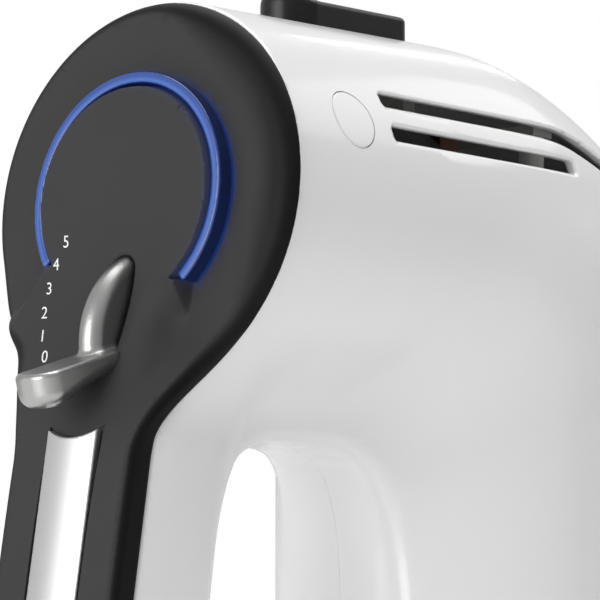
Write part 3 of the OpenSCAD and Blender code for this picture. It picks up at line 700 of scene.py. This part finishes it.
# ---------------------------------------------------------------- blue ring
def ring_field(x, y, z):
    c, n = math.cos(DISC_LEAN), math.sin(DISC_LEAN)
    v = z - RING_Z
    yy = (y - RIM_Y) * c - v * n
    vv = (y - RIM_Y) * n + v * c
    r = np.hypot(x, vv)
    band = box2(r - (RING_R + 1.15), yy + 1.8, 1.05, 4.2, 0.45)
    arc = np.degrees(np.arctan2(vv, x))
    mid = 0.5 * (RING_ENDS[0] + RING_ENDS[1])
    off = np.abs((arc - mid + 180.0) % 360.0 - 180.0) - 0.5 * (RING_ENDS[1] - RING_ENDS[0])
    return rmax(band, np.radians(off) * r, 0.7)


ring = surface("light_ring", ring_field, (-25, 0, 130), (25, 17, 182), 0.36)


def lamp_material():
    """Blue plastic that glows where the attribute "glow" is high."""
    m = material("blue_lamp", (0.004, 0.016, 0.09), 0.25, vary=0.2, scale=60, coat=0.4, coat_rough=0.1)
    tree = m.node_tree
    glow = tree.nodes.new("ShaderNodeAttribute")
    glow.attribute_name = "glow"
    ramp = tree.nodes.new("ShaderNodeValToRGB")
    ramp.color_ramp.elements[0].color = (0.0, 0.0, 0.0, 1)
    ramp.color_ramp.elements[1].color = (0.075, 0.18, 0.55, 1)
    middle = ramp.color_ramp.elements.new(0.5)
    middle.color = (0.008, 0.035, 0.2, 1)
    tree.links.new(glow.outputs["Fac"], ramp.inputs["Fac"])
    bsdf = tree.nodes["Principled BSDF"]
    tree.links.new(ramp.outputs["Color"], bsdf.inputs["Emission Color"])
    bsdf.inputs["Emission Strength"].default_value = 0.8
    return m


MAT["blue_lamp"] = lamp_material()


def ring_glow(p):
    """Brightest along the middle of the front edge, faint along the foot of the outer wall."""
    n = field_normals(ring_field, p)
    r = np.hypot(p[:, 0], p[:, 2] - RING_Z)
    front = smooth(0.25, 0.9, -n[:, 1])
    core = 0.62 + 0.38 * np.exp(-((r - RING_R - 1.1) / 0.35) ** 2)
    foot = 0.45 * np.exp(-((p[:, 1] - rim_y(p[:, 2]) + 2.3) / 0.3) ** 2)
    return np.maximum(front * core, foot)


set_attribute(ring, "glow", ring_glow(points(ring)))
ring.data.materials.append(MAT["blue_lamp"])
place(ring, "housing", "blue_lamp", "light_ring")


# ---------------------------------------------------------------- polished strip
def inlay_field(x, y, z):
    rec = box2(x, z - 60.0, 6.0, 60.0, 0.5)
    rec = np.maximum(rec, NOTCH_R - np.hypot(x, z - NOTCH_Z))
    rec = np.maximum(rec, INLAY_LOW - z)
    d = y - face_y(z)
    crown = 0.1 + 0.8 * (1.0 - (x / 6.0) ** 2)
    return rmax(rec, np.maximum(-d - crown, d - 1.4), 0.35)


inlay = surface("grip_inlay", inlay_field, (-8, -26, 32), (8, -4, 116), 0.3)
inlay.data.materials.append(MAT["polished_inlay"])
place(inlay, "housing", "polished_inlay", "grip_inlay")


# ---------------------------------------------------------------- speed lever
def lever_field(x, y, z):
    c, n = math.cos(LEVER_REST), math.sin(LEVER_REST)
    dy, dz = PIVOT_Y - y, z - PIVOT_Z
    a = dy * c + dz * n
    b = -dy * n + dz * c
    r = np.hypot(a, b)
    ang = np.degrees(np.arctan2(b, a))
    ax = np.abs(x)
    blade = np.hypot(a / 19.2, b / 17.4)
    fin = rmax((blade - 1.0) * FIN_R, ax - 2.6, 2.5)
    fin = rmax(fin, np.maximum((-5.0 - ang) * 0.3, (ang - 91.0) * 0.3), 0.8)
    fin = np.maximum(fin, 1.5 - a * 0.6 - b * 0.3)
    hub = np.maximum(r - 4.8, ax - 4.8)
    under = -4.5 + 2.4 * smooth(32.0, 16.0, a)
    plan = box2(a - 23.2, x, 11.0, 4.9, 3.9)
    tab = rmax(rmax(plan, b - 2.0, 0.9), under - b, 2.9)
    f = smin(fin, tab, 1.6)
    f = np.minimum(f, hub)
    return np.maximum(f, 2.1 - r)


lever = surface("speed_lever", lever_field, (-7, -27, 112), (7, 20, 149), 0.32)
lever.data.materials.append(MAT["satin_lever"])
place(lever, "lever", "satin_lever", "speed_lever")


# ---------------------------------------------------------------- speed scale
def on_cover(x, z):
    """The y of the finished cover's front at a point."""
    y = front_y(x, z)
    for _ in range(12):
        f0, f1 = cover_field(x, y, z), cover_field(x, y + 0.05, z)
        slope = np.where(np.abs(f1 - f0) > 1e-4, (f1 - f0) / 0.05, -1.0)
        y = y - np.clip(f0 / slope, -1.0, 1.0)
    return y


def digit_mesh(digit):
    """One printed digit as a thin mesh in metres, laid on the cover."""
    turn = math.radians(SCALE_FROM + SCALE_STEP * digit)
    dx = SCALE_X + SCALE_R * math.cos(turn)
    dz = SCALE_Z + SCALE_R * math.sin(turn)
    text = bpy.data.curves.new("digit", "FONT")
    text.body = str(digit)
    text.size = DIGIT_SIZE
    text.align_x = "CENTER"
    text.align_y = "CENTER"
    text.extrude = 0.03
    text.resolution_u = 6
    text.offset = -0.01
    holder = bpy.data.objects.new("digit", text)
    bpy.context.collection.objects.link(holder)
    glyph = bpy.data.meshes.new_from_object(holder)
    bpy.data.objects.remove(holder)
    flat = np.array([v.co[:] for v in glyph.vertices])
    lean = on_cover(np.array([dx, dx]), np.array([dz - 1.0, dz + 1.0]))
    gx = (flat[:, 0] * 0.86 + dx) - 0.3 * (lean[1] - lean[0]) * flat[:, 1]
    gz = flat[:, 1] + dz
    gy = on_cover(gx, gz) - 0.035 - flat[:, 2]
    for v, a, b, c in zip(glyph.vertices, gx, gy, gz):
        v.co = (a * MM, b * MM, c * MM)
    return glyph


scale_bm = bmesh.new()
for digit in range(6):
    scale_bm.from_mesh(digit_mesh(digit))
scale_me = bpy.data.meshes.new("speed_scale")
bmesh.ops.recalc_face_normals(scale_bm, faces=scale_bm.faces[:])
scale_bm.to_mesh(scale_me)
scale_bm.free()
scale_ob = bpy.data.objects.new("speed_scale", scale_me)
bpy.context.collection.objects.link(scale_ob)
scale_me.materials.append(material("scale_print", (0.8, 0.8, 0.8), 0.55, vary=0.03, scale=400))
place(scale_ob, "housing", "white_cap")


# ---------------------------------------------------------------- eject button
def button_field(x, y, z):
    f = rmax(box2(x, y - BUTTON_Y, 6.6, 17.0, 3.2), np.maximum(z - 201.6 + 0.05 * (84.0 - y), 191.5 - z), 1.2)
    knob = np.sqrt(x * x + (y - KNOB_Y) ** 2 + (1.09 * np.maximum(z - 199.0, 0.0)) ** 2) - 5.4
    f = smin(f, np.maximum(knob, 193.0 - z), 1.6)
    # hollow over the return spring
    return np.maximum(f, -np.maximum(np.hypot(x, y - SPRING_Y) - 5.2, z - 192.7))


button = surface("eject_button", button_field, (-8, 44, 190), (8, 86, 206), 0.35)
button.data.materials.append(MAT["black_button"])
place(button, "ejector", "black_button", "eject_button")

# ---------------------------------------------------------------- CAD nodes that stay
slot_of = {s["node"]: s["material_slot"] for s in frame["record"]["subparts"]}
for name, ob in frame["nodes"].items():
    if name in replaced:
        continue
    for i in range(max(1, len(ob.material_slots))):
        if i < len(ob.material_slots):
            ob.material_slots[i].material = MAT[slot_of[name]]
        else:
            ob.data.materials.append(MAT[slot_of[name]])

# ---------------------------------------------------------------- stage, lights and camera
FLOOR_DROP = 0.0006
bm = bmesh.new()
bmesh.ops.create_grid(bm, x_segments=1, y_segments=1, size=6.0)
fme = bpy.data.meshes.new("floor")
bm.to_mesh(fme)
bm.free()
floor = bpy.data.objects.new("floor", fme)
floor.location.z = cad_box[0][2] - FLOOR_DROP
bpy.context.collection.objects.link(floor)
floor.data.materials.append(material("floor_white", (0.9, 0.9, 0.9), 0.6, vary=0.004, scale=2))


def area(name, loc, target, size, power, size_y=None):
    li = bpy.data.lights.new(name, "AREA")
    li.energy = power
    li.size = size
    if size_y:
        li.shape = "RECTANGLE"
        li.size_y = size_y
    ob = bpy.data.objects.new(name, li)
    ob.location = loc
    ob.rotation_euler = (Vector(target) - Vector(loc)).to_track_quat("-Z", "Y").to_euler()
    bpy.context.collection.objects.link(ob)
    return ob


mid = (0, 0.05, 0.13)
# name, place, target, width in metres, power in watts, height
area("glint", (-0.317, 0.857, 0.695), (0.023, 0.065, 0.186), 0.035, 0.11, 0.25)
area("softbox", (0.32, 1.08, 0.88), (0.035, 0.05, 0.17), 0.75, 0.85, 0.34)
area("overhead", (0.0, 0.3, 1.1), (0, 0.08, 0.17), 0.9, 8.0, 0.9)
area("front", (0.0, -1.2, 0.3), mid, 0.8, 8.0, 0.8)
area("left_card", (-0.5, -0.9, 0.25), mid, 0.3, 1.1, 0.8)
side_fill = area("side_fill", (0.55, 0.6, 0.25), (0.03, 0.14, 0.13), 0.4, 0.25, 0.4)
side_fill.visible_glossy = False


def add_node(tree, kind, **values):
    node = tree.nodes.new(kind)
    for key, value in values.items():
        setattr(node, key, value)
    return node


def studio_world():
    """A pale room, darker towards the right, the far side and the floor; the camera sees it white."""
    world = bpy.data.worlds.new("studio")
    bpy.context.scene.world = world
    world.use_nodes = True
    tree = world.node_tree
    direction = add_node(tree, "ShaderNodeTexCoord")
    facing = add_node(tree, "ShaderNodeVectorMath", operation="DOT_PRODUCT")
    facing.inputs[1].default_value = Vector((0.72, 0.3, -0.62)).normalized()
    tree.links.new(direction.outputs["Generated"], facing.inputs[0])
    dim = add_node(tree, "ShaderNodeMapRange", interpolation_type="SMOOTHSTEP")
    dim.inputs["From Min"].default_value = 0.0
    dim.inputs["From Max"].default_value = 0.95
    dim.inputs["To Min"].default_value = 0.58
    dim.inputs["To Max"].default_value = 0.24
    tree.links.new(facing.outputs["Value"], dim.inputs["Value"])
    room = tree.nodes["Background"]
    room.inputs["Color"].default_value = (1, 1, 1, 1)
    tree.links.new(dim.outputs["Result"], room.inputs["Strength"])
    white = add_node(tree, "ShaderNodeBackground")
    white.inputs["Color"].default_value = (1, 1, 1, 1)
    path = add_node(tree, "ShaderNodeLightPath")
    mix = add_node(tree, "ShaderNodeMixShader")
    tree.links.new(path.outputs["Is Camera Ray"], mix.inputs[0])
    tree.links.new(room.outputs[0], mix.inputs[1])
    tree.links.new(white.outputs[0], mix.inputs[2])
    tree.links.new(mix.outputs[0], tree.nodes["World Output"].inputs["Surface"])


def add_camera(place_m, back, lens, shift):
    """A level camera at a place, looking against the direction back."""
    data = bpy.data.cameras.new("camera")
    cam = bpy.data.objects.new("camera", data)
    bpy.context.collection.objects.link(cam)
    back = Vector(back).normalized()
    right = Vector((-back.y, back.x, 0)).normalized()
    up = back.cross(right)
    turn = Matrix((right, up, back)).transposed()
    cam.matrix_world = Matrix.Translation(Vector(place_m)) @ turn.to_4x4()
    data.sensor_width = 36.0
    data.lens = lens
    data.shift_x, data.shift_y = shift
    data.clip_start = 0.01
    bpy.context.scene.camera = cam


studio_world()
add_camera((0.30426, -0.31966, 0.09095), (0.62712, -0.77205, -0.10326), 146.84, (0.0027, -0.0032))
bpy.context.scene.view_settings.view_transform = "Standard"

import json
